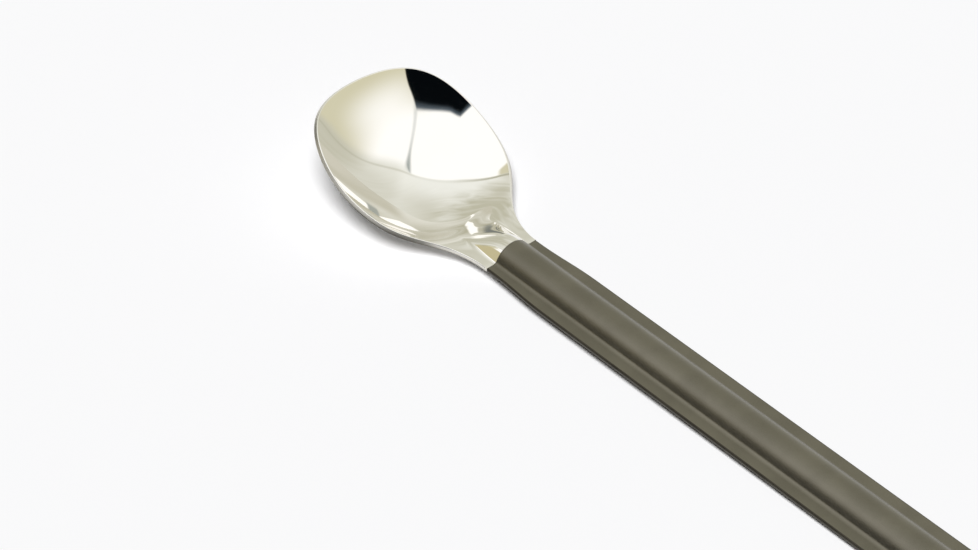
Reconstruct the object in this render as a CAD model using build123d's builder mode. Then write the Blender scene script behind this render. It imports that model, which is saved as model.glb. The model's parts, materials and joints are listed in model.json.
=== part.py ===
from build123d import *
from math import asin, degrees, sqrt
import os

# A long-handled spoon, pressed from one titanium sheet. Sizes are in millimetres.
# The bowl's tip points along +X, +Z is up, and the spoon lies bowl up on the plane Z = 0.

# The sheet
SHEET = 1.0
EDGE_CHAMFER = 0.25

# The polished bowl, from the finish line across the neck to the tip
POLISHED_LENGTH = 48.1
LIP_WIDTH = 36.7
BOWL_DEPTH = 8.6
TIP_RISE = 15.1
DISH_START = 1.0
DISH_RUN = 16.0

# The blasted handle, from the finish line to its round end
HANDLE_LENGTH = 169.3
HANDLE_WIDTH = 14.6
WAIST_FLANGE = 1.58
WAIST_RUN = 17.6
TONGUE_LENGTH = 15.0
HOLE_DIAMETER = 5.0
HOLE_INSET = 7.0
HOLE_CHAMFER = 0.1

# The raised crown between the handle's two flanges, with its nose in the neck
CROWN_HEIGHT = 3.0
CROWN_RADIUS = 4.5
CREASE_RADIUS = 1.2
CROWN_NOSE_BACK = 1.0
CROWN_NOSE = 14.0
CROWN_CENTRE = CROWN_HEIGHT - CROWN_RADIUS
CROWN_FOOT = sqrt((CROWN_RADIUS + CREASE_RADIUS) ** 2 - (CREASE_RADIUS - CROWN_CENTRE) ** 2)
CROWN_TURN = asin(CROWN_FOOT / (CROWN_RADIUS + CREASE_RADIUS))
WAIST_WIDTH = 2 * (CROWN_FOOT + WAIST_FLANGE)

# Heights that shape the smooth curves from the finish line to the tip, at even steps
# that begin one step before the line and end one step past the tip
SWELL_SHARES = (0.022, -0.011, 0.022, 0.19, 0.662, 0.868, 0.944, 0.881, 0.628, 0.112, -1.076)
RISE_SHARES = (0.018, -0.009, 0.018, 0.093, 0.244, 0.396, 0.552, 0.753, 0.955, 1.034, 0.909)
WIDEST_SHARE = 0.62

# Rows of the forming faces over the crown and its creases, as shares of the crown's foot
CROWN_ROW_SHARES = (0.45, 0.75, 0.88, 1.0, 1.3)

# How far the forming faces and the trimming wall run past the sheet, and their steps
OVERRUN = 4.0
FORMING_STEP = 4.0
WAIST_STEP = 1.6
RIM_STEPS = 12
PROBE = 0.01


def curve(shares, t):
    """Height at t, from 0 to 1, of the smooth curve that these even heights shape."""
    spans = len(shares) - 3
    span = min(max(int(t * spans), 0), spans - 1)
    f = t * spans - span
    weights = ((1 - f) ** 3, 3 * f**3 - 6 * f**2 + 4, -3 * f**3 + 3 * f**2 + 3 * f + 1, f**3)
    return sum(w * share for w, share in zip(weights, shares[span : span + 4])) / 6


def ease(t):
    """Smooth step from 0 to 1."""
    t = min(max(t, 0), 1)
    return t**3 * (10 - 15 * t + 6 * t * t)


def spaced(start, stop, step):
    """Even stations from start to stop, about a step apart."""
    count = max(round(abs(stop - start) / step), 1)
    return [start + (stop - start) * i / count for i in range(count + 1)]


def squared_lip(s):
    """Square of half the bowl's width inside the rim, s past the finish line."""
    t = s / POLISHED_LENGTH
    waist, lip = (WAIST_WIDTH / 2) ** 2, (LIP_WIDTH / 2) ** 2
    swell = (lip - waist * (1 - WIDEST_SHARE**2)) / curve(SWELL_SHARES, WIDEST_SHARE)
    return waist * (1 - t * t) + swell * curve(SWELL_SHARES, t)


def half_width(s):
    """Half the width of the sheet, with s below zero on the handle."""
    if s > 0:
        return sqrt(max(squared_lip(s), 0))
    return (WAIST_WIDTH + (HANDLE_WIDTH - WAIST_WIDTH) * ease(-s / WAIST_RUN)) / 2


def crown_profile(y):
    """Height of the full crown, a round top that meets each flange in a small crease."""
    y = abs(y)
    if y < CROWN_FOOT * CROWN_RADIUS / (CROWN_RADIUS + CREASE_RADIUS):
        return CROWN_CENTRE + sqrt(CROWN_RADIUS**2 - y * y)
    if y < CROWN_FOOT:
        return CREASE_RADIUS - sqrt(CREASE_RADIUS**2 - (CROWN_FOOT - y) ** 2)
    return 0


def formed(s, y):
    """Height of the sheet's upper face over the straight line of the flanges."""
    rise = TIP_RISE * curve(RISE_SHARES, s / POLISHED_LENGTH) if s > 0 else 0
    dish = BOWL_DEPTH / (LIP_WIDTH / 2) ** 2 * ease((s - DISH_START) / DISH_RUN)
    nose = 1 - ease((s + CROWN_NOSE_BACK) / CROWN_NOSE)
    return rise - dish * (squared_lip(s) - y * y) + nose * crown_profile(y)


def skin(s, y, depth):
    """Point at this depth square to the sheet's upper face, as the spoon lies."""
    along = (formed(s + PROBE, y) - formed(s - PROBE, y)) / (2 * PROBE) + REST_SLOPE
    across = (formed(s, y + PROBE) - formed(s, y - PROBE)) / (2 * PROBE)
    drop = depth / sqrt(1 + along**2 + across**2)
    line = SHEET + REST_SLOPE * (s + HANDLE_LENGTH)
    return Vector(FINISH_X + s + drop * along, y + drop * across, line + formed(s, y) - drop)


def forming_face(depth):
    """Smooth face through the sheet at one depth, like the tool that presses the bowl."""
    crown = [share * CROWN_FOOT for share in CROWN_ROW_SHARES]
    side = crown + spaced(crown[-1], LIP_WIDTH / 2 + 2 * OVERRUN, FORMING_STEP)[1:]
    rows = [-y for y in reversed(side)] + [0] + side
    stations = spaced(POLISHED_LENGTH + 2 * OVERRUN, -OVERRUN, FORMING_STEP)
    return Shell.make_loft([Wire(Spline(*[skin(s, y, depth) for y in rows])) for s in stations])


def rim_line(depth):
    """Line round the rim from one side of the neck to the other, at this depth."""
    tip = [POLISHED_LENGTH * (1 - t * t) for t in spaced(1, 0, 1 / RIM_STEPS)]
    side = [(s, half_width(s)) for s in spaced(-OVERRUN, 0, WAIST_STEP)[:-1] + tip]
    return Spline(*[skin(s, y, depth) for s, y in side + [(s, -y) for s, y in side[-2::-1]]])


# The spoon rests on its handle's end and on the belly of its bowl
REST_SLOPE = max(-formed(s, 0) / (s + HANDLE_LENGTH) for s in spaced(0, POLISHED_LENGTH, PROBE))

# The rim's edge stands square to the sheet, so it leans out past the lip at the tip
FINISH_X = 0
TIP_REACH = skin(POLISHED_LENGTH, 0, SHEET).X
FINISH_X = (HANDLE_LENGTH - TIP_REACH) / 2

os.makedirs("parts", exist_ok=True)

with BuildPart() as bowl:
    # Sheet between the upper and the lower forming face
    with Locations((FINISH_X, 0, -OVERRUN)):
        Box(
            TIP_REACH + SHEET,
            LIP_WIDTH + 2 * OVERRUN,
            TIP_RISE + BOWL_DEPTH + 2 * OVERRUN,
            align=(Align.MIN, Align.CENTER, Align.MIN),
        )
    split(bisect_by=forming_face(0), keep=Keep.BOTTOM)
    split(bisect_by=forming_face(SHEET), keep=Keep.TOP)
    # Rim trimmed by a wall that stands square to the sheet all the way round
    split(
        bisect_by=Face.make_surface_from_curves(rim_line(-2 * SHEET), rim_line(3 * SHEET)),
        keep=Keep.BOTTOM,
    )
    chamfer(bowl.edges().filter_by(lambda edge: edge.length > POLISHED_LENGTH), EDGE_CHAMFER)

bowl.part.label = "bowl"
export_step(bowl.part, "parts/bowl.step")


with BuildPart() as pressed:
    # Flat blank with a soft waist at the neck, a round end and a hole for a cord or a hook
    round_end = HANDLE_WIDTH / 2
    with BuildSketch():
        with BuildLine():
            neck = (HANDLE_LENGTH, WAIST_WIDTH / 2)
            beyond = Line((HANDLE_LENGTH + OVERRUN, WAIST_WIDTH / 2), neck)
            taper = [(HANDLE_LENGTH + s, half_width(s)) for s in spaced(0, -WAIST_RUN, WAIST_STEP)]
            waist = Spline(*taper, tangents=((-1, 0), (-1, 0)))
            side = Line(waist @ 1, (round_end, round_end))
            ThreePointArc(side @ 1, (0, 0), (round_end, -round_end))
            for line in (side, waist, beyond):
                mirror(line, about=Plane.XZ)
            Line(beyond @ 0, (HANDLE_LENGTH + OVERRUN, -WAIST_WIDTH / 2))
        make_face()
    extrude(amount=SHEET)
    chamfer(pressed.faces().filter_by(Axis.Z).edges(), EDGE_CHAMFER)
    with Locations((HOLE_INSET, 0, SHEET)):
        Hole(HOLE_DIAMETER / 2)
    chamfer(pressed.edges().filter_by(lambda edge: edge.is_closed), HOLE_CHAMFER)

    # Crown raised over the blank and hollow beneath, with a domed end before the flat tongue
    dome = Plane((TONGUE_LENGTH + CROWN_FOOT, 0, 0), x_dir=(0, 1, 0), z_dir=(1, 0, 0))
    for depth, floor, mode in ((0, 0, Mode.ADD), (SHEET, -SHEET, Mode.SUBTRACT)):
        with BuildSketch(dome) as half:
            with BuildLine():
                turn = degrees(CROWN_TURN)
                top = CenterArc((0, SHEET + CROWN_CENTRE), CROWN_RADIUS - depth, 90, -turn)
                foot = (CROWN_FOOT, SHEET + CREASE_RADIUS)
                crease = CenterArc(foot, CREASE_RADIUS + depth, 270 - turn, turn)
                Polyline(crease @ 1, (CROWN_FOOT, floor), (0, floor), top @ 0)
            make_face()
        revolve(axis=Axis(dome.origin, (0, 0, 1)), revolution_arc=180, mode=mode)
        with BuildSketch(dome):
            add(half.sketch_local)
            mirror(half.sketch_local, about=Plane.YZ)
        extrude(amount=HANDLE_LENGTH + OVERRUN + SHEET - dome.origin.X, mode=mode)

with BuildPart() as handle:
    # Laid on the table by its end, climbing to the neck, and cut off at the finish line
    lie = Plane((FINISH_X - HANDLE_LENGTH, 0, 0), (1, 0, REST_SLOPE), (-REST_SLOPE, 0, 1))
    add(pressed.part.moved(lie.location))
    split(bisect_by=Plane.YZ.offset(FINISH_X), keep=Keep.BOTTOM)

handle.part.label = "handle"
export_step(handle.part, "parts/handle.step")
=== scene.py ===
import json
from math import cos, pi, radians, sin, sqrt

import bmesh
import bpy
import numpy as np
from bpy.props import FloatProperty, FloatVectorProperty, PointerProperty
from mathutils import Matrix, Vector

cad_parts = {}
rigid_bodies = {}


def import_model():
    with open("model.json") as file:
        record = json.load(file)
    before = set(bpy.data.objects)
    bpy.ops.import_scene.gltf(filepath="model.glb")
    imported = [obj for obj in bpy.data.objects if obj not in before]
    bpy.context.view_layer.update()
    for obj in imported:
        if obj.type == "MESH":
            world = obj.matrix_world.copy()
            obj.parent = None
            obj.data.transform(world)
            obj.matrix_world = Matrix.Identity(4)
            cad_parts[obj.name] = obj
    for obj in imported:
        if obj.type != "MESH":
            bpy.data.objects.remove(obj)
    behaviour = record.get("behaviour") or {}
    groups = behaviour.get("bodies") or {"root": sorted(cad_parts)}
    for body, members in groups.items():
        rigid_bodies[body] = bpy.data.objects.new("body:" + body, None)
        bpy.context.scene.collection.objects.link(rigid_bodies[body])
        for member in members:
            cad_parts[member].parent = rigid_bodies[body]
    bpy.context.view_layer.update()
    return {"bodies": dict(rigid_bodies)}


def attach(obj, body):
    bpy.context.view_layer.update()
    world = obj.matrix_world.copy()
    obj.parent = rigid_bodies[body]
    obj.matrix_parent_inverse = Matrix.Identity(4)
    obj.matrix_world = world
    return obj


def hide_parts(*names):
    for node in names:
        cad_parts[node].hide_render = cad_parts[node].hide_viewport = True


bl_info = {
    "name": "Pressed Sheet Spoon",
    "version": (1, 0, 0),
    "blender": (4, 5, 0),
    "location": "3D View > Sidebar > Spoon",
    "description": "Builds a long-handled spoon pressed from titanium sheet, and its studio",
    "category": "Add Mesh",
}

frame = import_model()
BODY = next(iter(frame["bodies"]))

MM = 0.001
# Heights at even steps that shape the smooth curves from the finish line to the bowl's tip
SWELL_SHARES = (0.022, -0.011, 0.022, 0.19, 0.662, 0.868, 0.944, 0.881, 0.628, 0.112, -1.076)
RISE_SHARES = (0.018, -0.009, 0.018, 0.093, 0.244, 0.396, 0.552, 0.753, 0.955, 1.034, 0.909)
WIDEST_SHARE = 0.62
# Short steps and distances, in metres, and the least values under a root or a division
PROBE = 0.01 * MM
WELD = 0.002 * MM
SLIVER = 0.0005 * MM
LEAST_REACH, LEAST_SQUARE, LEAST_LEVEL = 1e-9, 1e-14, 1e-6
# Steps along the bowl that find how the spoon lies
SLOPE_STEPS = 4801
# Rows and columns of the meshes
BOWL_ROWS, BOWL_COLUMNS = 181, 141
EDGE_STEPS, HOLE_STEPS, TONGUE_STEPS = 5, 3, 12
CROWN_COLUMNS, FLANGE_COLUMNS = 15, 7
DOME_ROWS, CROWN_ROWS, WAIST_ROWS = (14, 16), 60, 48
SIDE_STEPS, END_STEPS = 8, 65
# Corners from which a face counts as the one that closes the cut
MANY_CORNERS = 20
# Shares of the crown's foot: where close columns start and end, and close rows start
CREASE_START, CREASE_STOP, DOME_START = 0.76, 1.04, 0.4
# How far the handle's blank runs past the finish line before it is cut
OVERRUN = 1 * MM
# The camera's sensor in millimetres, the nearest it sees and half the floor's side in metres
SENSOR_WIDTH, NEAREST, FLOOR_REACH = 36, 0.01, 2
# Folds of the far cloth, per degree along and across them
FOLDS_ALONG, FOLDS_ACROSS = 0.03, 0.11
# The cut edge's mark on the bowl: polished upper corner, brushed wall, lower corner that takes painted
# shade near the neck
RIM_MARKS = (0, 0.5, 0.7, 1)
# Ranges of the mark in which the brushed finish, the painted shade under the bowl's rim and the painted
# shade on the handle's cut edge set in
BRUSHED_MARK, RIM_SHADE_MARK, EDGE_SHADE_MARK = (0.25, 0.5), (0.55, 0.85), (0.2, 0.9)
# Ranges of noise that make blotches and grains
BLOTCH_NOISE, GRAIN_NOISE = (0.3, 0.7), (0.25, 0.75)
# How far noise moves a roughness, and the least and added shares of haze and of the painted shade on the
# handle's cut edge
SWING = 0.1
HAZE_LEAST, HAZE_MORE = 0.6, 0.8
EDGE_SHADE_LEAST, EDGE_SHADE_MORE = 0.82, 0.15


def length(name, description, default):
    return FloatProperty(
        name=name, description=description, default=default * MM, unit="LENGTH", precision=5
    )


def angle(name, description, degrees):
    return FloatProperty(
        name=name, description=description, default=radians(degrees), subtype="ANGLE", unit="ROTATION"
    )


def share(name, description, default):
    return FloatProperty(
        name=name, description=description, default=default, min=0, max=1, subtype="FACTOR"
    )


def amount(name, description, default):
    return FloatProperty(name=name, description=description, default=default, min=0)


def colour(name, description, default):
    return FloatVectorProperty(
        name=name, description=description, subtype="COLOR", default=default, min=0, soft_max=1
    )


class SpoonSizes(bpy.types.PropertyGroup):
    sheet: length("Sheet", "Thickness of the titanium sheet", 1.0)
    edge_round: length("Edge Round", "Radius along the handle's cut edge", 0.38)
    rim_round: length("Rim Round", "Radius along the bowl's cut edge", 0.2)
    rim_inset: length("Rim Inset", "How far the bowl's cut edge is drawn in", 0.12)
    polished_length: length("Bowl Length", "From the finish line to the bowl's tip", 48.1)
    lip_width: length("Lip Width", "Widest inside width of the bowl", 36.7)
    bowl_depth: length("Bowl Depth", "Depth of the dish under its rim", 8.6)
    tip_rise: length("Tip Rise", "How far the tip stands over the line of the handle", 15.1)
    dish_start: length("Dish Start", "Where the dish begins past the finish line", 1.0)
    dish_run: length("Dish Run", "How far the dish takes to reach its full shape", 16.0)
    handle_length: length("Handle Length", "From the round end to the finish line", 169.3)
    handle_width: length("Handle Width", "Full width of the handle", 14.6)
    waist_flange: length("Waist Flange", "Flat flange beside the crown at the neck", 1.58)
    waist_run: length("Waist Run", "How far the handle takes to widen from the neck", 17.6)
    tongue_length: length("Tongue Length", "Flat end beyond the crown's domed end", 15.0)
    hole_diameter: length("Hole Diameter", "Hanging hole in the tongue", 5.0)
    hole_inset: length("Hole Inset", "Hole's centre from the round end", 7.0)
    hole_round: length("Hole Round", "Radius on the hole's edges", 0.1)
    crown_height: length("Crown Height", "Rise of the handle's rounded crown", 3.0)
    crown_radius: length("Crown Radius", "Radius of the crown's top", 4.5)
    crease_radius: length("Crease Radius", "Radius where the crown meets a flange", 1.2)
    nose_back: length("Nose Back", "Where the crown's nose begins, behind the line", 1.0)
    nose_length: length("Nose Length", "How far the crown takes to run out in the neck", 14.0)


class FinishSettings(bpy.types.PropertyGroup):
    polish_colour: colour("Polish Colour", "Tint of the mirror-polished titanium", (0.87, 0.86, 0.83))
    warm_tint: colour("Warm Tint", "What warms the polish in soft patches", (1.0, 0.985, 0.955))
    tint_scale: amount("Tint Scale", "Warmer patches of the polish, per metre", 90)
    polish_roughness: share("Polish Roughness", "Roughness of the mirror polish", 0.035)
    haze_scale: amount("Haze Scale", "Patches of haze on the polish, per metre", 420)
    wave_scale: amount("Wave Scale", "Waves that pressing leaves, per metre", 110)
    wave_height: length("Wave Height", "Height of the waves that pressing leaves", 0.012)
    buff_scale: amount("Buff Scale", "Marks that buffing leaves, per metre", 1800)
    buff_height: length("Buff Height", "Height of the marks that buffing leaves", 0.0003)
    edge_colour: colour("Edge Colour", "Tint of the bowl's brushed cut edge", (0.78, 0.76, 0.7))
    edge_roughness: share("Edge Roughness", "Roughness of the bowl's brushed cut edge", 0.4)
    brush_scale: amount("Brush Scale", "Brush marks on the cut edge, per metre", 1500)
    # Painted shade: a dark tint under the bowl's cut edge near the neck, where the shadow under the rim
    # falls; the next two set where it starts and where it is full
    dull_colour: colour("Dull Colour", "Tint under the bowl's cut edge near the neck", (0.1, 0.09, 0.07))
    dull_start: length("Dull Start", "Where the edge starts to dull, past the middle", 98)
    dull_full: length("Dull Full", "Where the edge is dull, past the middle", 84)
    blast_colour: colour("Blast Colour", "Tint of the bead-blasted titanium", (0.2, 0.187, 0.15))
    blast_roughness: share("Blast Roughness", "Roughness of the blasted handle", 0.36)
    blotch_scale: amount("Blotch Scale", "Darker blotches on the handle, per metre", 140)
    blotch_shade: share("Blotch Shade", "How much of the tint a blotch keeps", 0.86)
    grain_colour: colour("Grain Colour", "Tint of the blasted metal's brighter grains", (0.3, 0.28, 0.23))
    grain_scale: amount("Grain Scale", "Grains of the blasted metal, per metre", 5200)
    grain_share: share("Grain Share", "How much the grains' tint shows", 0.16)
    pit_scale: amount("Pit Scale", "Pits of the blasted metal, per metre", 6500)
    pit_height: length("Pit Height", "Depth of the pits", 0.008)
    pit_strength: share("Pit Strength", "How much the pits turn the light", 0.6)
    # Painted shade: a near-black tint on the handle's cut edge, where the shade under the raised handle
    # falls
    cut_colour: colour("Cut Colour", "Tint of the handle's dark cut edge", (0.05, 0.045, 0.036))


class StudioSettings(bpy.types.PropertyGroup):
    camera_turn: angle("Camera Turn", "Turn of the camera round the spoon", 47.90)
    camera_lift: angle("Camera Lift", "Rise of the camera over the floor", 40.88)
    camera_distance: length("Camera Distance", "From the middle of the finish line", 539.7)
    camera_right: length("Camera Right", "Shift of the camera to its right", -4.461)
    camera_up: length("Camera Up", "Shift of the camera upwards", -4.144)
    camera_lens: amount("Camera Lens", "Focal length in millimetres", 100.601227)
    lamp_turn: angle("Lamp Turn", "Turn of the lamp from the camera's side", -5)
    lamp_lean: angle("Lamp Lean", "Lean of the lamp from straight up", 31)
    lamp_spread: angle("Lamp Spread", "How wide the lamp looks from the floor", 22)
    lamp: amount("Lamp", "Strength of the soft lamp that lights the floor", 3.5)
    shaded: share("Tent Share", "Share of the tent's light that reaches the floor", 0.06)
    background: amount("Background", "White that the camera sees beyond the floor", 0.974)
    floor_colour: colour("Floor", "Plain pale floor", (0.95, 0.95, 0.96))
    tent_white: colour("Tent White", "Cloth above and on the camera's side", (1.2, 1.2, 1.2))
    window_glow: colour("Low Window", "Bright low gaps in the far cloth", (1.4, 1.4, 1.42))
    far_bright: colour("Far Cloth, Near", "Far cloth where it leaves the ceiling", (0.98, 0.99, 0.95))
    far_dim: colour("Far Cloth, Low", "Far cloth further down", (0.58, 0.57, 0.46))
    hem_colour: colour("Hem", "Line where ceiling and far cloth meet", (0.45, 0.44, 0.33))
    seam_colour: colour("Seam", "Seam down the ceiling", (0.42, 0.46, 0.45))
    side_cream: colour("Side Cream", "Lower part of the cloth on the right", (0.73, 0.7, 0.52))
    side_gold: colour("Side Gold", "Lower part of the cloth on the left", (0.62, 0.56, 0.35))
    fold_shade: colour("Fold Shade", "Far cloth behind the low windows", (0.72, 0.71, 0.62))
    opening_edge: colour("Opening Edge", "Grey haze at the top of the tent's opening", (0.1, 0.13, 0.16))
    opening_dark: colour("Opening", "Dark room in the tent's opening", (0.002, 0.003, 0.004))


class SpoonForm:
    """The pressed sheet's shape, from the sizes, in metres."""

    def __init__(self, sizes):
        for name in SpoonSizes.__annotations__:
            setattr(self, name, getattr(sizes, name))
        self.centre = self.crown_height - self.crown_radius
        reach = self.crown_radius + self.crease_radius
        self.foot = sqrt(reach**2 - (self.crease_radius - self.centre) ** 2)
        self.waist_width = 2 * (self.foot + self.waist_flange)
        s = np.linspace(0, self.polished_length, SLOPE_STEPS)
        self.slope = 0.0
        self.slope = float(np.max(-self.formed(s, 0 * s) / (s + self.handle_length)))
        self.finish = 0.0
        tip = self.skin(np.array([self.polished_length]), np.zeros(1), self.sheet)[0][0, 0]
        self.finish = (self.handle_length - tip) / 2

    def curve(self, shares, t):
        """Height at t, from 0 to 1, of the smooth curve that these even heights shape."""
        spans = len(shares) - 3
        span = np.clip(np.floor(t * spans).astype(int), 0, spans - 1)
        f = t * spans - span
        weights = ((1 - f) ** 3, 3 * f**3 - 6 * f**2 + 4, -3 * f**3 + 3 * f**2 + 3 * f + 1, f**3)
        return sum(w * np.take(shares, span + i) for i, w in enumerate(weights)) / 6

    def ease(self, t):
        """Smooth step from 0 to 1."""
        t = np.clip(t, 0, 1)
        return t**3 * (10 - 15 * t + 6 * t * t)

    def squared_lip(self, s):
        """Square of half the bowl's width inside the rim, s past the finish line."""
        t = s / self.polished_length
        waist, lip = (self.waist_width / 2) ** 2, (self.lip_width / 2) ** 2
        widest = float(self.curve(SWELL_SHARES, np.array([WIDEST_SHARE]))[0])
        swell = (lip - waist * (1 - WIDEST_SHARE**2)) / widest
        return waist * (1 - t * t) + swell * self.curve(SWELL_SHARES, t)

    def half_width(self, s):
        """Half the width of the sheet, with s below zero on the handle."""
        growth = (self.handle_width - self.waist_width) * self.ease(-s / self.waist_run)
        bowl = np.sqrt(np.maximum(self.squared_lip(s), 0))
        return np.where(s > 0, bowl, (self.waist_width + growth) / 2)

    def crown_profile(self, y):
        """Height of the full crown, a round top that meets each flange in a small crease."""
        y = np.abs(y)
        top = self.centre + np.sqrt(np.maximum(self.crown_radius**2 - y * y, 0))
        down = np.clip(self.foot - y, 0, None)
        crease = self.crease_radius - np.sqrt(np.maximum(self.crease_radius**2 - down**2, 0))
        turn = self.foot * self.crown_radius / (self.crown_radius + self.crease_radius)
        return np.where(y < turn, top, np.where(y < self.foot, crease, 0))

    def formed(self, s, y):
        """Height of the sheet's upper face over the straight line of the flanges."""
        rise = self.tip_rise * self.curve(RISE_SHARES, s / self.polished_length)
        eased = self.ease((s - self.dish_start) / self.dish_run)
        dish = self.bowl_depth / (self.lip_width / 2) ** 2 * eased
        nose = 1 - self.ease((s + self.nose_back) / self.nose_length)
        return (
            np.where(s > 0, rise, 0)
            - dish * (self.squared_lip(s) - y * y)
            + nose * self.crown_profile(y)
        )

    def skin(self, s, y, depth):
        """Points at a depth square to the sheet's upper face, and the face's normals."""
        slope_along = (self.formed(s + PROBE, y) - self.formed(s - PROBE, y)) / (2 * PROBE)
        slope_across = (self.formed(s, y + PROBE) - self.formed(s, y - PROBE)) / (2 * PROBE)
        along = slope_along + self.slope
        normal = np.stack([-along, -slope_across, np.ones_like(along)], -1)
        normal /= np.linalg.norm(normal, axis=-1, keepdims=True)
        line = self.sheet + self.slope * (s + self.handle_length)
        top = np.stack([self.finish + s, y, line + self.formed(s, y)], -1)
        return top - np.asarray(depth)[..., None] * normal, normal


def sheet_arc(radius, sheet, steps):
    """Offsets inward and down round a cut edge, from the upper face to the lower one."""
    turns = np.linspace(0, pi / 2, steps + 1)
    arc = [(radius * (1 - sin(turn)), radius * (1 - cos(turn))) for turn in turns]
    return arc + [(inward, sheet - down) for inward, down in reversed(arc)]


def mesh_object(name, verts, faces, marks, normals=None):
    """A smooth closed mesh, welded, with its cut edge marked and normals kept where given."""
    bm = bmesh.new()
    layer = bm.verts.layers.float_vector.new("skin_normal")
    cut_edge = bm.verts.layers.float.new("cut_edge")
    made = []
    for i, point in enumerate(verts):
        vert = bm.verts.new(point)
        vert[cut_edge] = marks[i]
        if normals is not None:
            vert[layer] = normals[i]
        made.append(vert)
    for face in faces:
        bm.faces.new([made[i] for i in face])
    bmesh.ops.remove_doubles(bm, verts=bm.verts, dist=WELD)
    bmesh.ops.dissolve_degenerate(bm, edges=bm.edges, dist=SLIVER)
    if normals is None:
        bmesh.ops.recalc_face_normals(bm, faces=bm.faces)
    for face in bm.faces:
        face.smooth = True
    kept = [tuple(vert[layer]) for vert in bm.verts]
    mesh = bpy.data.meshes.new(name)
    bm.to_mesh(mesh)
    bm.free()
    mesh.attributes.remove(mesh.attributes["skin_normal"])
    if normals is not None:
        mesh.normals_split_custom_set_from_vertices(kept)
    piece = bpy.data.objects.new(name, mesh)
    bpy.context.collection.objects.link(piece)
    return piece


def loops_to_faces(count, around):
    """Quads that join closed loops of points, one after the other."""
    faces = []
    for i in range(count - 1):
        for j in range(around):
            k = (j + 1) % around
            a, b = i * around, (i + 1) * around
            faces.append((a + j, b + j, b + k, a + k))
    return faces


def make_bowl(form):
    """Polished bowl: the sheet between its faces, with a rounded rim square to the sheet."""
    r = form.rim_round
    edge = sheet_arc(r, form.sheet, EDGE_STEPS)[1:-1]
    s = form.polished_length * (1 - np.linspace(1, 0, BOWL_ROWS) ** 2)
    width = form.half_width(s)
    # Direction along the rim, which runs straight across at the tip, and out square to it
    rim, normal = form.skin(s, width, 0 * s)
    run = np.gradient(rim, axis=0)
    run[0] = rim[1] - rim[0]
    run[-1] = (0, -1, 0)
    run /= np.linalg.norm(run, axis=1, keepdims=True)
    out = np.cross(normal, run)
    # A small corner reaches further than the solid's, so the rim is drawn in past the neck
    drawn = form.rim_inset * form.ease(s / form.dish_run)
    rim = rim - drawn[:, None] * out
    # Both faces reach in from the rim by the edge's radius, but for the row on the finish line
    inner_s = s - (r + drawn) * out[:, 0]
    inner_s[0] = 0
    inner_y = np.maximum(width - (r + drawn) * out[:, 1], 0)
    across = np.linspace(-1, 1, BOWL_COLUMNS)
    on_face = np.zeros(BOWL_COLUMNS)
    on_edge = np.interp([down for _, down in edge], (0, r, form.sheet - r, form.sheet), RIM_MARKS)
    other_side = np.array([1, -1, 1])
    loops, normals, marks = [], [], []
    for i in range(BOWL_ROWS):
        y = across * inner_y[i]
        row = np.full_like(y, inner_s[i])
        top, top_normal = form.skin(row, y, np.zeros_like(y))
        low, low_normal = form.skin(row, y, np.full_like(y, form.sheet))
        arc, arc_normal = [], []
        for inward, down in edge:
            arc.append(rim[i] - inward * out[i] - down * normal[i])
            lift = max(r - down, 0) / r - max(down - form.sheet + r, 0) / r
            arc_normal.append(lift * normal[i] + sqrt(max(1 - lift * lift, 0)) * out[i])
        arc, arc_normal = np.array(arc), np.array(arc_normal)
        loops.append(np.concatenate([top, arc, low[::-1], arc[::-1] * other_side]))
        normals.append(np.concatenate(
            [top_normal, arc_normal, -low_normal[::-1], arc_normal[::-1] * other_side]))
        marks.append(np.concatenate([on_face, on_edge, on_face, on_edge[::-1]]))
    around = len(loops[0])
    verts, normals, marks = (np.concatenate(rows) for rows in (loops, normals, marks))
    verts[:around, 0] = form.finish
    faces = loops_to_faces(BOWL_ROWS, around)
    # The first loop is closed where it meets the handle
    opposite = 2 * BOWL_COLUMNS + len(edge) - 1
    for j in range(BOWL_COLUMNS - 1):
        faces.append((opposite - j, opposite - j - 1, j + 1, j))
    faces.append(tuple(range(BOWL_COLUMNS + len(edge), BOWL_COLUMNS - 2, -1)))
    faces.append(tuple(range(around - 1, opposite - 1, -1)) + (0,))
    return mesh_object("polished_bowl", verts, faces, marks, normals)


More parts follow.
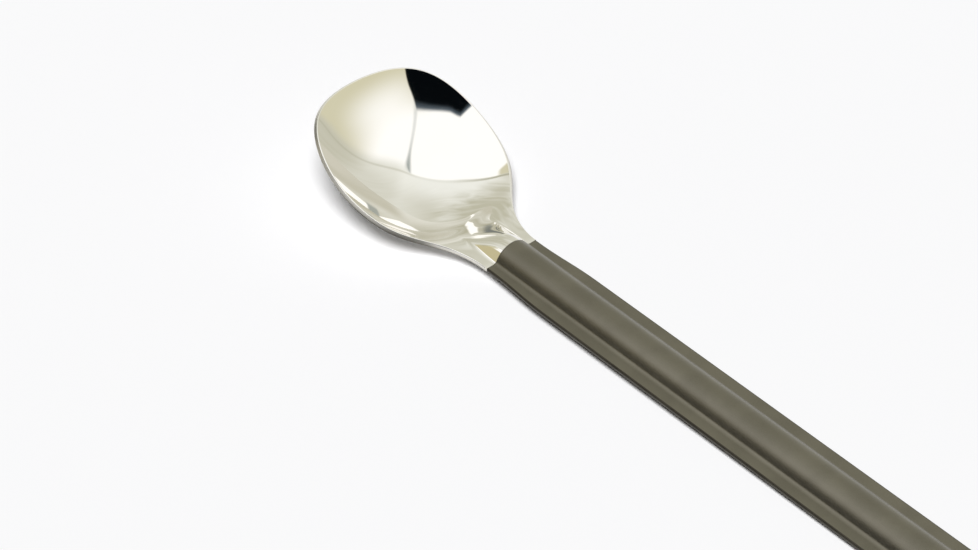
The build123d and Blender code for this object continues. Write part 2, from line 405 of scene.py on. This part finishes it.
def flat_blank(form):
    """Closed flat plate of the handle before pressing, with its hole and rounded cut edges."""
    sheet, end = form.sheet, form.handle_width / 2
    inset, hole = form.hole_inset, form.hole_diameter / 2
    tongue_end = 2 * inset
    # Columns across: close together over the crown's creases, wider over top and flanges
    top = np.linspace(0, form.foot * CREASE_START, CROWN_COLUMNS)
    crease = np.linspace(form.foot * CREASE_START, form.foot * CREASE_STOP, CROWN_COLUMNS)[1:]
    half = np.concatenate([top, crease])
    flange = np.linspace(0, 1, FLANGE_COLUMNS + 1)[1:]

    def width(x):
        return float(form.half_width(np.array([min(x - form.handle_length, 0)]))[0])

    def columns(x):
        inner = width(x) - form.edge_round
        side = np.concatenate([half, half[-1] + flange * (inner - half[-1])])
        return np.concatenate([-side[:0:-1], side])

    # Rows along: the tongue, the crown's domed end, the straight handle and the waist
    dome = form.tongue_length + DOME_START * form.foot
    full_crown = form.tongue_length + form.foot
    waist = form.handle_length - form.waist_run
    rows = np.concatenate([
        np.linspace(tongue_end, dome, DOME_ROWS[0]),
        np.linspace(dome, full_crown, DOME_ROWS[1])[1:],
        np.linspace(full_crown, waist, CROWN_ROWS)[1:],
        np.linspace(waist, form.handle_length + OVERRUN, WAIST_ROWS)[1:],
    ])
    verts, faces, marks = [], [], []

    def add_grid(grid, edged=False):
        """Quads over a grid of points, rows by columns, marked where they are a cut edge."""
        base, (count, wide) = len(verts), grid.shape[:2]
        verts.extend(grid.reshape(-1, 3))
        mark = np.full(wide, float(edged))
        mark[[0, -1]] = 0
        marks.extend(np.tile(mark, count))
        for i in range(count - 1):
            for j in range(wide - 1):
                a = base + i * wide + j
                faces.append((a, a + 1, a + wide + 1, a + wide))

    # Outline from the neck round the end and back, with its outward direction
    right = [((x, width(x)), (0, 1)) for x in rows[::-1]]
    right += [((x, end), (0, 1)) for x in np.linspace(tongue_end, end, SIDE_STEPS)[1:-1]]
    bend = [((end + end * cos(turn), end * sin(turn)), (cos(turn), sin(turn)))
            for turn in np.linspace(pi / 2, 3 * pi / 2, END_STEPS)]
    left = [((x, -y), (0, -1)) for (x, y), _ in right[::-1]]
    outline = right + bend + left
    # The tongue round the hole: rays from the hole's edge to the outline and to the first row
    first = len(rows) - 1
    tour = [(x - form.edge_round * out_x, y - form.edge_round * out_y)
            for (x, y), (out_x, out_y) in outline[first:len(outline) - first]]
    tour += [(tongue_end, y) for y in columns(tongue_end)[1:]]
    tongue, ring = [], []
    for x, y in tour:
        away = Vector((x - inset, y)).normalized()
        start = Vector((inset, 0)) + (hole + form.hole_round) * away
        tongue.append([(*start.lerp(Vector((x, y)), t), sheet)
                       for t in np.linspace(0, 1, TONGUE_STEPS)])
        ring.append([(inset + (hole + inward) * away.x, (hole + inward) * away.y, sheet - down)
                     for inward, down in sheet_arc(form.hole_round, sheet, HOLE_STEPS)])
    straight = [[(x, y, sheet) for y in columns(x)] for x in rows]
    for face in (np.array(straight), np.array(tongue)):
        add_grid(face)
        add_grid(face * (1, 1, 0))
    add_grid(np.array([
        [(x - inward * out_x, y - inward * out_y, sheet - down)
         for inward, down in sheet_arc(form.edge_round, sheet, EDGE_STEPS)]
        for (x, y), (out_x, out_y) in outline
    ]), edged=True)
    add_grid(np.array(ring), edged=True)
    return mesh_object("blasted_handle", verts, faces, marks)


class Value:
    """A number that nodes work out, so that their sums read like ordinary formulas."""

    def __init__(self, tree, socket):
        self.tree = tree
        self.socket = socket

    def __add__(self, other):
        return self.tree.math("ADD", self, other)

    def __sub__(self, other):
        return self.tree.math("SUBTRACT", self, other)

    def __rsub__(self, other):
        return self.tree.math("SUBTRACT", other, self)

    def __mul__(self, other):
        return self.tree.math("MULTIPLY", self, other)

    def __truediv__(self, other):
        return self.tree.math("DIVIDE", self, other)

    def __pow__(self, power):
        return self.tree.math("POWER", self, power)

    def __neg__(self):
        return self.tree.math("MULTIPLY", self, -1.0)

    def __abs__(self):
        return self.tree.math("ABSOLUTE", self)


class Tree:
    """Small helper that adds and joins the nodes of one tree."""

    def __init__(self, tree):
        self.tree = tree

    def node(self, kind, **settings):
        node = self.tree.nodes.new(kind)
        for key, value in settings.items():
            setattr(node, key, value)
        return node

    def put(self, value, socket):
        """Join a value to a socket, or set the socket to a plain number, colour or vector."""
        if isinstance(value, Value):
            value = value.socket
        if isinstance(value, bpy.types.NodeSocket):
            self.tree.links.new(value, socket)
        else:
            socket.default_value = value

    def math(self, operation, *values):
        node = self.node("ShaderNodeMath", operation=operation)
        for value, socket in zip(values, node.inputs):
            self.put(value, socket)
        return Value(self, node.outputs[0])

    def at_least(self, value, limit):
        return self.math("MAXIMUM", value, limit)

    def at_most(self, value, limit):
        return self.math("MINIMUM", value, limit)

    def root(self, value):
        return self.math("SQRT", value)

    def smooth(self, value, low, high):
        """Smooth step from 0 at low to 1 at high."""
        node = self.node("ShaderNodeMapRange", interpolation_type="SMOOTHSTEP")
        for name, given in (("Value", value), ("From Min", low), ("From Max", high)):
            self.put(given, node.inputs[name])
        return Value(self, node.outputs["Result"])

    def vector(self, operation, first, second=None):
        """Vector sum of one or two values, where the second may be a vector or a scale."""
        node = self.node("ShaderNodeVectorMath", operation=operation)
        self.put(first, node.inputs[0])
        if second is not None:
            self.put(second, node.inputs["Scale" if operation == "SCALE" else 1])
        return node.outputs["Value" if operation == "DOT_PRODUCT" else "Vector"]

    def combine(self, *parts):
        """Vector from its parts along x, y and z."""
        node = self.node("ShaderNodeCombineXYZ")
        for part, socket in zip(parts, node.inputs):
            self.put(part, socket)
        return node.outputs[0]

    def separate(self, vector):
        """Parts of a vector along x, y and z."""
        node = self.node("ShaderNodeSeparateXYZ")
        self.put(vector, node.inputs[0])
        return [Value(self, part) for part in node.outputs]

    def mix(self, factor, first, second):
        """Colour between the first and the second."""
        node = self.node("ShaderNodeMix", data_type="RGBA")
        sockets = (node.inputs[0], node.inputs[6], node.inputs[7])
        for socket, given in zip(sockets, (factor, first, second)):
            self.put(given, socket)
        return node.outputs[2]

    def noise(self, place, scale, detail, distortion=0.0):
        node = self.node("ShaderNodeTexNoise")
        settings = {"Vector": place, "Scale": scale, "Detail": detail, "Distortion": distortion}
        for name, given in settings.items():
            self.put(given, node.inputs[name])
        return Value(self, node.outputs["Fac"])

    def bump(self, height, distance, strength=1.0, normal=None):
        """Normal turned by a height that is counted in this distance."""
        node = self.node("ShaderNodeBump")
        for name, given in (("Height", height), ("Distance", distance), ("Strength", strength)):
            self.put(given, node.inputs[name])
        if normal is not None:
            self.put(normal, node.inputs["Normal"])
        return node.outputs[0]


def paint(tint):
    """A tint as a node's colour."""
    return (*tint, 1)


def crown_tree():
    """Node tree that presses the crown into a flat blank, one sheet thick all over."""
    group = bpy.data.node_groups.new("press_crown", "GeometryNodeTree")
    face = group.interface
    face.new_socket("Blank", in_out="INPUT", socket_type="NodeSocketGeometry")
    for name in ("Sheet", "Crown Height", "Crown Radius", "Crease Radius", "Dome Centre"):
        face.new_socket(name, in_out="INPUT", socket_type="NodeSocketFloat")
    face.new_socket("Finish", in_out="INPUT", socket_type="NodeSocketMaterial")
    face.new_socket("Pressed", in_out="OUTPUT", socket_type="NodeSocketGeometry")
    t = Tree(group)
    given = t.node("NodeGroupInput").outputs
    # The last output is an empty place for one more input
    blank, *numbers, finish = list(given)[:-1]
    sheet, height, radius, crease, dome = (Value(t, number) for number in numbers)
    x, y, z = t.separate(t.node("GeometryNodeInputPosition").outputs[0])
    # Distance from the crown's middle line, which ends at the dome's centre
    behind = t.at_least(dome - x, 0.0)
    reach = t.at_least(t.root(behind * behind + y * y), LEAST_REACH)
    # The foot, where the crease meets the flange
    both = radius + crease
    centre = height - radius
    drop = crease - centre
    foot = t.root(both * both - drop * drop)

    def arc(r, across):
        """Height of a circle over its centre line at this distance from its middle."""
        return t.root(t.at_least(r * r - across * across, LEAST_SQUARE))

    # The pressed face is a round top, or a crease where it comes near the foot
    on_top = arc(radius, reach)
    short = t.at_least(foot - reach, 0.0)
    in_crease = arc(crease, short)
    is_top = t.math("LESS_THAN", reach, foot * radius / both)

    def chosen(top, low):
        return is_top * (top - low) + low

    rise = chosen(centre + on_top, crease - in_crease)
    slope = chosen(-reach / on_top, -short / in_crease)
    lean = slope / reach
    square = t.vector("NORMALIZE", t.combine(lean * behind, -(lean * y), 1.0))
    # Each point keeps its depth in the sheet, now square to the pressed face
    depth = t.vector("SCALE", square, sheet - z)
    moved = t.vector("SUBTRACT", t.combine(x, y, sheet + rise), depth)
    press = t.node("GeometryNodeSetPosition")
    t.put(blank, press.inputs["Geometry"])
    t.put(moved, press.inputs["Position"])
    real = t.node("GeometryNodeRealizeInstances")
    t.put(press.outputs[0], real.inputs[0])
    coat = t.node("GeometryNodeSetMaterial")
    t.put(real.outputs[0], coat.inputs["Geometry"])
    t.put(finish, coat.inputs["Material"])
    t.put(coat.outputs[0], t.node("NodeGroupOutput").inputs[0])
    return group


def press_blank(piece, form, finish):
    """Mesh of the flat blank once nodes have pressed its crown."""
    press = piece.modifiers.new("press_crown", "NODES")
    press.node_group = crown_tree()
    values = {
        "Sheet": form.sheet,
        "Crown Height": form.crown_height,
        "Crown Radius": form.crown_radius,
        "Crease Radius": form.crease_radius,
        "Dome Centre": form.tongue_length + form.foot,
        "Finish": finish,
    }
    for item in press.node_group.interface.items_tree:
        if item.in_out == "INPUT" and item.name in values:
            press[item.identifier] = values[item.name]
    bpy.context.view_layer.update()
    made = piece.evaluated_get(bpy.context.evaluated_depsgraph_get())
    mesh = bpy.data.meshes.new_from_object(made)
    piece.modifiers.remove(press)
    return mesh


def make_handle(form, finish):
    """Blasted handle: the flat blank, pressed by nodes, laid down and cut at the line."""
    piece = flat_blank(form)
    mesh = press_blank(piece, form, finish)
    piece.data = mesh
    tilt = Vector((1, 0, form.slope)).normalized()
    lift = Vector((-form.slope, 0, 1)).normalized()
    lie = Matrix((tilt, (0, 1, 0), lift)).transposed().to_4x4()
    lie.translation = (form.finish - form.handle_length, 0, 0)
    mesh.transform(lie)
    bm = bmesh.new()
    bm.from_mesh(mesh)
    parts = bm.verts[:] + bm.edges[:] + bm.faces[:]
    bmesh.ops.bisect_plane(
        bm, geom=parts, plane_co=(form.finish, 0, 0), plane_no=(1, 0, 0), clear_outer=True
    )
    bmesh.ops.edgeloop_fill(bm, edges=[edge for edge in bm.edges if edge.is_boundary])
    # All faces are smooth but the one that closes the cut, which has many corners
    for face in bm.faces:
        face.smooth = len(face.verts) < MANY_CORNERS
    bm.to_mesh(mesh)
    bm.free()
    return piece


def new_metal(name):
    """A metal's material and nodes, its shader, the place on the piece and the cut edge's mark."""
    material = bpy.data.materials.new(name)
    material.use_nodes = True
    t = Tree(material.node_tree)
    shader = material.node_tree.nodes["Principled BSDF"]
    shader.inputs["Metallic"].default_value = 1
    place = t.node("ShaderNodeTexCoord").outputs["Object"]
    marked = t.node("ShaderNodeAttribute", attribute_name="cut_edge").outputs["Fac"]
    return material, t, shader, place, marked


def polished_titanium(finish):
    """Mirror polish with faint waves and haze, a brushed cut edge, and painted shade under the edge near
    the neck.
    """
    material, t, shader, place, marked = new_metal("polished_titanium")
    cut = t.smooth(marked, *BRUSHED_MARK)
    warm = [part * tint for part, tint in zip(finish.polish_colour, finish.warm_tint)]
    patches = t.noise(place, finish.tint_scale, detail=3)
    polish = t.mix(patches, paint(finish.polish_colour), paint(warm))
    x = t.separate(place)[0]
    # Painted shade: near the neck the lower corner of the cut edge is darkened, where the shadow under
    # the rim falls
    rim_shade = t.smooth(marked, *RIM_SHADE_MARK) * t.smooth(x, finish.dull_start, finish.dull_full)
    edge = t.mix(rim_shade, paint(finish.edge_colour), paint(finish.dull_colour))
    t.put(t.mix(cut, polish, edge), shader.inputs["Base Color"])
    # Haze varies the polish round its roughness, and brush marks vary the cut edge
    hazy = t.noise(place, finish.haze_scale, detail=4)
    haze = (hazy * HAZE_MORE + HAZE_LEAST) * finish.polish_roughness
    strokes = t.noise(place, finish.brush_scale, detail=3)
    brushed = strokes * SWING + (finish.edge_roughness - SWING / 2)
    t.put(haze + cut * (brushed - haze), shader.inputs["Roughness"])
    # Waves fade out on the cut edge, and buffing marks lie over both
    wavy = t.noise(place, finish.wave_scale, detail=0)
    waves = t.bump(wavy, finish.wave_height, 1 - cut)
    rubbed = t.noise(place, finish.buff_scale, detail=3)
    t.put(t.bump(rubbed, finish.buff_height, normal=waves), shader.inputs["Normal"])
    return material


def blasted_titanium(finish):
    """Bead-blasted grey metal with fine grain, pits, soft blotches and painted shade on the cut edge."""
    material, t, shader, place, marked = new_metal("blasted_titanium")
    blotch = t.smooth(t.noise(place, finish.blotch_scale, detail=3), *BLOTCH_NOISE)
    grain = t.smooth(t.noise(place, finish.grain_scale, detail=2), *GRAIN_NOISE)
    dark = [part * finish.blotch_shade for part in finish.blast_colour]
    shade = t.mix(blotch, paint(dark), paint(finish.blast_colour))
    shade = t.mix(grain * finish.grain_share, shade, paint(finish.grain_colour))
    # Painted shade: the cut edge is darkened to near black, where the shade under the handle falls,
    # varied a little by the blotches
    edge_shade = t.smooth(marked, *EDGE_SHADE_MARK) * (blotch * EDGE_SHADE_MORE + EDGE_SHADE_LEAST)
    t.put(t.mix(edge_shade, shade, paint(finish.cut_colour)), shader.inputs["Base Color"])
    t.put(grain * SWING + (finish.blast_roughness - SWING / 2), shader.inputs["Roughness"])
    pitted = t.noise(place, finish.pit_scale, detail=2)
    pits = t.bump(pitted, finish.pit_height, finish.pit_strength)
    t.put(pits, shader.inputs["Normal"])
    return material


class Tent(Tree):
    """Nodes of the tent's world, with each direction on a chart round straight up.

    A direction leans so many degrees from straight up, which are split into u degrees to the
    camera's right and v degrees away from the camera. The functions below paint the tent on this
    chart: each pair of numbers in a smooth step is where the step starts and ends.
    """

    def __init__(self, world, studio):
        super().__init__(world.node_tree)
        self.studio = studio
        self.path = self.node("ShaderNodeLightPath").outputs
        direction = self.node("ShaderNodeTexCoord").outputs["Generated"]
        turn = studio.camera_turn
        axes = ((sin(turn), -cos(turn), 0), (-cos(turn), -sin(turn), 0), (0, 0, 1))
        self.away, self.right, upwards = (
            Value(self, self.vector("DOT_PRODUCT", direction, axis)) for axis in axes
        )
        self.lean = self.math("ARCCOSINE", upwards) * (180 / pi)
        level = self.root(self.away * self.away + self.right * self.right)
        level = self.at_least(level, LEAST_LEVEL)
        self.u = self.lean * (self.right / level)
        self.v = self.lean * (self.away / level)

    def colour(self, name):
        return paint(getattr(self.studio, name))

    def past(self, value, start):
        """How far a value is past the start, or 0."""
        return self.at_least(value - start, 0.0)

    def bow(self, value, height):
        """Square curve that reaches this height at ten degrees."""
        return (value / 10.0) ** 2.0 * height

    def window(self, value, rise, fall):
        """Smooth step up over the rise, and down again over the fall."""
        return self.smooth(value, *rise) * self.smooth(value, *fall)


def hem_line(tent):
    """Degrees away where ceiling and far cloth meet, on a line that bows on both sides."""
    u = tent.u
    lowest, slope, left_bow, right_bow = 4.4, 0.062, 1.45, 2.6
    hem = tent.past(u, -15.0) * slope + lowest
    hem = hem + tent.bow(tent.past(-u, 15.0), left_bow)
    return hem + tent.bow(tent.past(u, 30.0), right_bow)


def far_cloth(tent, beyond):
    """Far cloth beyond the hem, dimmer further down and to the sides, with soft folds."""
    u, v = tent.u, tent.v
    down, low = tent.smooth(v, 8.0, 45.0), tent.smooth(v, 10.0, 22.0)
    on_left, on_right = tent.smooth(u, 0.0, -15.0), tent.smooth(u, 10.0, 40.0)
    corner, past_corner = tent.smooth(u, 32.0, 42.0), tent.smooth(u, 54.0, 64.0)
    dim = down * 0.7 * (1.0 - on_right * 0.5) + on_left * 0.2 * low
    dim = dim + corner * 0.2 + past_corner * 0.33
    # Folds run across, bowed like the hem, and are deepest near the middle
    bowed = v - tent.bow(u + 8.0, 2.0)
    chart = tent.combine(u * FOLDS_ALONG, bowed * FOLDS_ACROSS)
    folds = tent.noise(chart, scale=1.0, detail=2, distortion=1.2) - 0.5
    near_middle = tent.smooth(u, 16.0, 4.0)
    depth = tent.smooth(v, 8.0, 20.0) * (near_middle * 0.85 + 0.25)
    dim = tent.at_most(tent.at_least(dim + folds * depth, 0.0), 1.0)
    cloth = tent.mix(dim, tent.colour("far_bright"), tent.colour("far_dim"))
    # The hem's line is clearest far to the left
    line = 1.0 - tent.smooth(abs(beyond - 0.6), 0.2, 1.9)
    far_left, far_right = tent.smooth(u, 0.0, -45.0), tent.smooth(u, 20.0, 36.0)
    clear = far_left * 0.75 + far_right * 0.25 + 0.12
    return tent.mix(line * clear, cloth, tent.colour("hem_colour"))


def near_cloth(tent):
    """Ceiling and near cloth, white with cream low on the right and a strip of it on the left."""
    u, v = tent.u, tent.v
    cream_edge = v * 0.33 + 54.5
    cream = tent.smooth(tent.lean - cream_edge, -7.0, 8.0) * tent.smooth(u, 5.0, 20.0)
    cloth = tent.mix(cream, tent.colour("tent_white"), tent.colour("side_cream"))
    strip = tent.smooth(u, -43.0, -47.0) * tent.smooth(v, 9.0, 13.0)
    return tent.mix(strip, cloth, tent.colour("side_cream"))


def open_sides(tent, cloth):
    """The tent is open low down on the camera's side and on the left, but for one gold cloth."""
    u, v = tent.u, tent.v
    outward = tent.past(-u, 54.0)
    middle, half_width = 5.0 - outward * 0.6, 11.0 - outward * 0.38
    gold = tent.smooth(abs(v - middle) - half_width, 3.0, 0.0)
    foot = tent.smooth(tent.lean, 62.0, 70.0)
    foot = foot * tent.smooth(tent.away, 0.3, 0.0) * tent.smooth(tent.right, 0.75, 0.45)
    left = tent.smooth(u, -50.0, -58.0) * (1.0 - gold)
    cloth = tent.mix(tent.at_least(foot, left), cloth, tent.colour("opening_dark"))
    return tent.mix(tent.smooth(u, -50.0, -54.0) * gold, cloth, tent.colour("side_gold"))


def ceiling_seam(tent, cloth):
    """Seam down the ceiling, right of the middle, wider and darker towards the hem."""
    u, v = tent.u, tent.v
    middle = 31.0 - tent.bow(v - 7.0, 0.63)
    width = tent.smooth(v, -14.0, 6.0) * 2.2 + 1.7
    strength = (tent.smooth(v, -25.0, 6.0) * 0.6 + 0.42) * tent.smooth(v, -40.0, -34.0)
    line = 1.0 - tent.smooth(abs(u - middle) / width, 0.1, 1.0)
    return tent.mix(line * strength, cloth, tent.colour("seam_colour"))


def low_windows(tent):
    """Two bright gaps low in the far cloth, on both sides of a post on the right."""
    u, v = tent.u, tent.v
    sill = tent.bow(30.0 - u, 5.0) + 30.0 + tent.past(u, 25.0) * 1.1
    jamb = tent.at_least(60.0 - v, 0.0) * 0.25 + 13.0
    left_of_post = tent.smooth(u - jamb, -1.5, 1.0) * tent.smooth(u, 38.5, 37.0)
    wide = left_of_post * tent.smooth(v - sill, -0.7, 0.7)
    side_sill = (55.0 - u) * 0.8 + 25.0
    right_of_post = tent.window(u, (41.5, 43.5), (58.0, 56.0))
    narrow = right_of_post * tent.smooth(v - side_sill, -1.0, 2.0)
    return wide + narrow


def crescent(tent):
    """Bright crescent low down on the left, with a pale wedge behind it."""
    u, v = tent.u, tent.v
    low_side = tent.at_most(v, 26.0) * 0.33 - 22.7 - tent.past(v, 26.0) * 0.4
    upper = tent.smooth(v, 33.5, 35.5)
    inner = upper * -19.2 + (1.0 - upper) * low_side
    outer = u + tent.smooth(v, 13.0, 18.0) * 4.5
    shape = tent.smooth(u - inner, -0.6, 0.6) * tent.smooth(outer, -9.7, -10.9)
    shape = shape * tent.window(v, (7.0, 9.0), (44.0, 40.0))
    wedge = tent.smooth(v, 54.0, 60.0) * tent.window(u, (-27.0, -23.0), (9.0, 5.0))
    return tent.at_least(shape, wedge * 0.6)


def seen_twice(tent, cloth):
    """What only light that crosses the bowl twice meets: shaded cloth, windows and a post."""
    u, v = tent.u, tent.v
    twice = tent.smooth(tent.path["Glossy Depth"], 1.2, 1.8)
    shade = tent.smooth(u, 16.0, 26.0) * tent.smooth(v, 30.0, 18.0)
    shade = shade * (tent.smooth(v, 6.0, 18.0) * 0.16 + 0.84)
    shade = shade + tent.window(u, (-44.0, -40.0), (-18.5, -21.0)) * tent.smooth(v, 24.0, 16.0)
    cloth = tent.mix(shade * twice, cloth, tent.colour("fold_shade"))
    hollow = tent.smooth(u, -20.6, -23.0) * tent.window(v, (30.0, 34.0), (48.0, 42.0))
    cloth = tent.mix(hollow * twice * 0.7, cloth, tent.colour("opening_edge"))
    bright = low_windows(tent) + crescent(tent)
    cloth = tent.mix(bright * twice, cloth, tent.colour("window_glow"))
    post = tent.smooth(abs(u - 40.0), 3.5, 2.0) * tent.smooth(v, 28.0, 36.0)
    return tent.mix(post * twice * 0.85, cloth, tent.colour("seam_colour"))


def camera_opening(tent, cloth):
    """Opening round the camera, dark below a hazy upper edge."""
    u = tent.u
    edge = tent.bow(u, 1.05) - 38.8 + tent.smooth(u, -6.0, -15.0)
    below = edge - tent.past(-u, 16.0) * 0.62 - tent.v
    room = tent.mix(
        tent.smooth(below, 0.2, 2.6), tent.colour("opening_edge"), tent.colour("opening_dark")
    )
    inside = tent.smooth(below, -0.8, 0.8) * tent.window(u, (-26.0, -24.8), (20.2, 19.0))
    return tent.mix(inside, cloth, room)


def light_tent(studio):
    """World of a cloth tent round the spoon, open and dark round the camera."""
    world = bpy.data.worlds.new("light_tent")
    world.use_nodes = True
    world.node_tree.nodes.clear()
    tent = Tent(world, studio)
    u, v = tent.u, tent.v
    beyond = v - hem_line(tent)
    near = ceiling_seam(tent, open_sides(tent, near_cloth(tent)))
    # The hem is softer to the right of the seam
    soft = -1.8 - tent.smooth(u, 29.0, 33.0) * 10.0
    cloth = tent.mix(tent.smooth(beyond, soft, 0.0), near, far_cloth(tent, beyond))
    far_left = tent.smooth(u, -50.0, -57.0) * tent.smooth(v, 20.0, 27.0)
    cloth = tent.mix(far_left, cloth, tent.colour("opening_dark"))
    cloth = camera_opening(tent, seen_twice(tent, cloth))

    # Light that the floor scatters gets a small share of the tent, and the camera sees white
    lit = tent.node("ShaderNodeBackground")
    tent.put(cloth, lit.inputs["Color"])
    scattered = tent.at_most(tent.path["Diffuse Depth"], 1.0)
    tent.put(1.0 - scattered * (1 - studio.shaded), lit.inputs["Strength"])
    seen = tent.node("ShaderNodeBackground")
    seen.inputs["Strength"].default_value = studio.background
    seen.inputs["Color"].default_value = (1, 1, 1, 1)
    choose = tent.node("ShaderNodeMixShader")
    tent.put(tent.path["Is Camera Ray"], choose.inputs[0])
    tent.put(lit.outputs[0], choose.inputs[1])
    tent.put(seen.outputs[0], choose.inputs[2])
    tent.put(choose.outputs[0], tent.node("ShaderNodeOutputWorld").inputs["Surface"])
    world.cycles.sampling_method = "NONE"
    return world


def make_camera(form, studio):
    """Camera over the handle's left side, aimed near the middle of the finish line."""
    turn, lift = studio.camera_turn, studio.camera_lift
    right = Vector((-cos(turn), -sin(turn), 0))
    towards = Vector((-sin(turn) * cos(lift), cos(turn) * cos(lift), sin(lift)))
    up = towards.cross(right)
    spot = Vector((form.finish, 0, form.sheet + form.slope * form.handle_length))
    spot += studio.camera_right * right + studio.camera_up * up + studio.camera_distance * towards
    camera = bpy.data.objects.new("camera", bpy.data.cameras.new("camera"))
    camera.data.sensor_width = SENSOR_WIDTH
    camera.data.lens = studio.camera_lens
    camera.data.clip_start = NEAREST
    facing = Matrix((right, up, towards)).transposed().to_4x4()
    camera.matrix_world = Matrix.Translation(spot) @ facing
    bpy.context.collection.objects.link(camera)
    return camera


def make_floor(studio):
    """Plain pale floor under the spoon."""
    mesh = bpy.data.meshes.new("floor")
    corners = [(x * FLOOR_REACH, y * FLOOR_REACH, 0) for x, y in ((-1, -1), (1, -1), (1, 1), (-1, 1))]
    mesh.from_pydata(corners, [], [(0, 1, 2, 3)])
    floor = bpy.data.objects.new("floor", mesh)
    bpy.context.collection.objects.link(floor)
    material = bpy.data.materials.new("pale_floor")
    material.use_nodes = True
    shader = material.node_tree.nodes["Principled BSDF"]
    shader.inputs["Base Color"].default_value = paint(studio.floor_colour)
    shader.inputs["Roughness"].default_value = 1
    shader.inputs["Specular IOR Level"].default_value = 0
    mesh.materials.append(material)
    return floor


def make_lamp(studio):
    """Soft lamp, unseen in the metal, that lights the floor and draws the shadow."""
    lamp = bpy.data.objects.new("soft_lamp", bpy.data.lights.new("soft_lamp", "SUN"))
    lamp.data.angle = studio.lamp_spread
    lamp.data.energy = studio.lamp
    lamp.visible_glossy = False
    side, lean = studio.camera_turn + studio.lamp_turn, studio.lamp_lean
    towards = Vector((-sin(side) * sin(lean), cos(side) * sin(lean), cos(lean)))
    lamp.rotation_euler = towards.to_track_quat("Z", "Y").to_euler()
    bpy.context.collection.objects.link(lamp)


class SPOON_OT_bowl(bpy.types.Operator):
    """Make the mirror-polished bowl with its neck"""

    bl_idname = "spoon.bowl"
    bl_label = "Polished Bowl"

    def execute(self, context):
        scene = context.scene
        form = SpoonForm(scene.spoon_sizes)
        piece = make_bowl(form)
        piece.data.materials.append(polished_titanium(scene.spoon_finish))
        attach(piece, BODY)
        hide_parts("bowl")
        return {"FINISHED"}


class SPOON_OT_handle(bpy.types.Operator):
    """Make the bead-blasted handle with its crown"""

    bl_idname = "spoon.handle"
    bl_label = "Blasted Handle"

    def execute(self, context):
        scene = context.scene
        form = SpoonForm(scene.spoon_sizes)
        piece = make_handle(form, blasted_titanium(scene.spoon_finish))
        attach(piece, BODY)
        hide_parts("handle")
        return {"FINISHED"}


class SPOON_OT_studio(bpy.types.Operator):
    """Set the camera, the pale floor, the soft lamp and the light tent"""

    bl_idname = "spoon.studio"
    bl_label = "Studio"

    def execute(self, context):
        scene = context.scene
        studio = scene.spoon_studio
        scene.view_settings.view_transform = "Standard"
        scene.camera = make_camera(SpoonForm(scene.spoon_sizes), studio)
        make_floor(studio)
        make_lamp(studio)
        scene.world = light_tent(studio)
        return {"FINISHED"}


class SPOON_PT_panel(bpy.types.Panel):
    """Lists the spoon's pieces, sizes and settings"""

    bl_label = "Pressed Sheet Spoon"
    bl_idname = "SPOON_PT_panel"
    bl_space_type = "VIEW_3D"
    bl_region_type = "UI"
    bl_category = "Spoon"

    def draw(self, context):
        layout = self.layout
        scene = context.scene
        for operator in (SPOON_OT_bowl, SPOON_OT_handle, SPOON_OT_studio):
            layout.operator(operator.bl_idname)
        for group in (scene.spoon_sizes, scene.spoon_finish, scene.spoon_studio):
            box = layout.box()
            for name in group.__annotations__:
                box.prop(group, name)


CLASSES = (
    SpoonSizes, FinishSettings, StudioSettings,
    SPOON_OT_bowl, SPOON_OT_handle, SPOON_OT_studio, SPOON_PT_panel,
)


def register():
    for cls in CLASSES:
        bpy.utils.register_class(cls)
    bpy.types.Scene.spoon_sizes = PointerProperty(type=SpoonSizes)
    bpy.types.Scene.spoon_finish = PointerProperty(type=FinishSettings)
    bpy.types.Scene.spoon_studio = PointerProperty(type=StudioSettings)


def unregister():
    del bpy.types.Scene.spoon_studio
    del bpy.types.Scene.spoon_finish
    del bpy.types.Scene.spoon_sizes
    for cls in reversed(CLASSES):
        bpy.utils.unregister_class(cls)


def main():
    register()
    bpy.ops.spoon.bowl()
    bpy.ops.spoon.handle()
    bpy.ops.spoon.studio()


if __name__ == "__main__":
    main()
